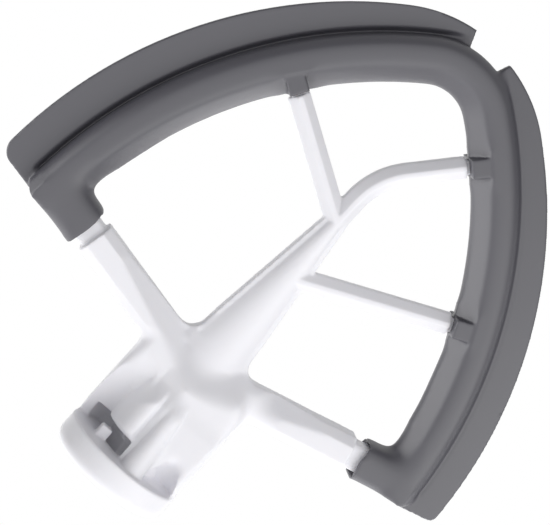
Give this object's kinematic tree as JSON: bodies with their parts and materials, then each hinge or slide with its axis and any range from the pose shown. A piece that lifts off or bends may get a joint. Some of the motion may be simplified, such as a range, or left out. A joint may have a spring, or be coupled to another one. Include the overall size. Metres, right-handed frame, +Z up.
{
  "type": "stand mixer flat beater",
  "caption": "Flat beater for a stand mixer: a rigid white frame with a drive socket, arms and spokes, and a soft grey scraping edge with thin wings round its pointed arch.",
  "frame": {"origin": "centre of the drive socket's mouth, on the top of the cap", "axes": "+Z up along the shaft axis, out of the socket; X across the two wings; -Y is the open front of the hub"},
  "size_m": [0.1403, 0.0326, 0.1404],
  "materials": {
    "white_frame": "satin white moulded nylon",
    "grey_edge": "satin dark grey moulded elastomer"
  },
  "bodies": {
    "root": {"core_frame": "white_frame", "flex_edge": "grey_edge"}
  },
  "joints": []
}
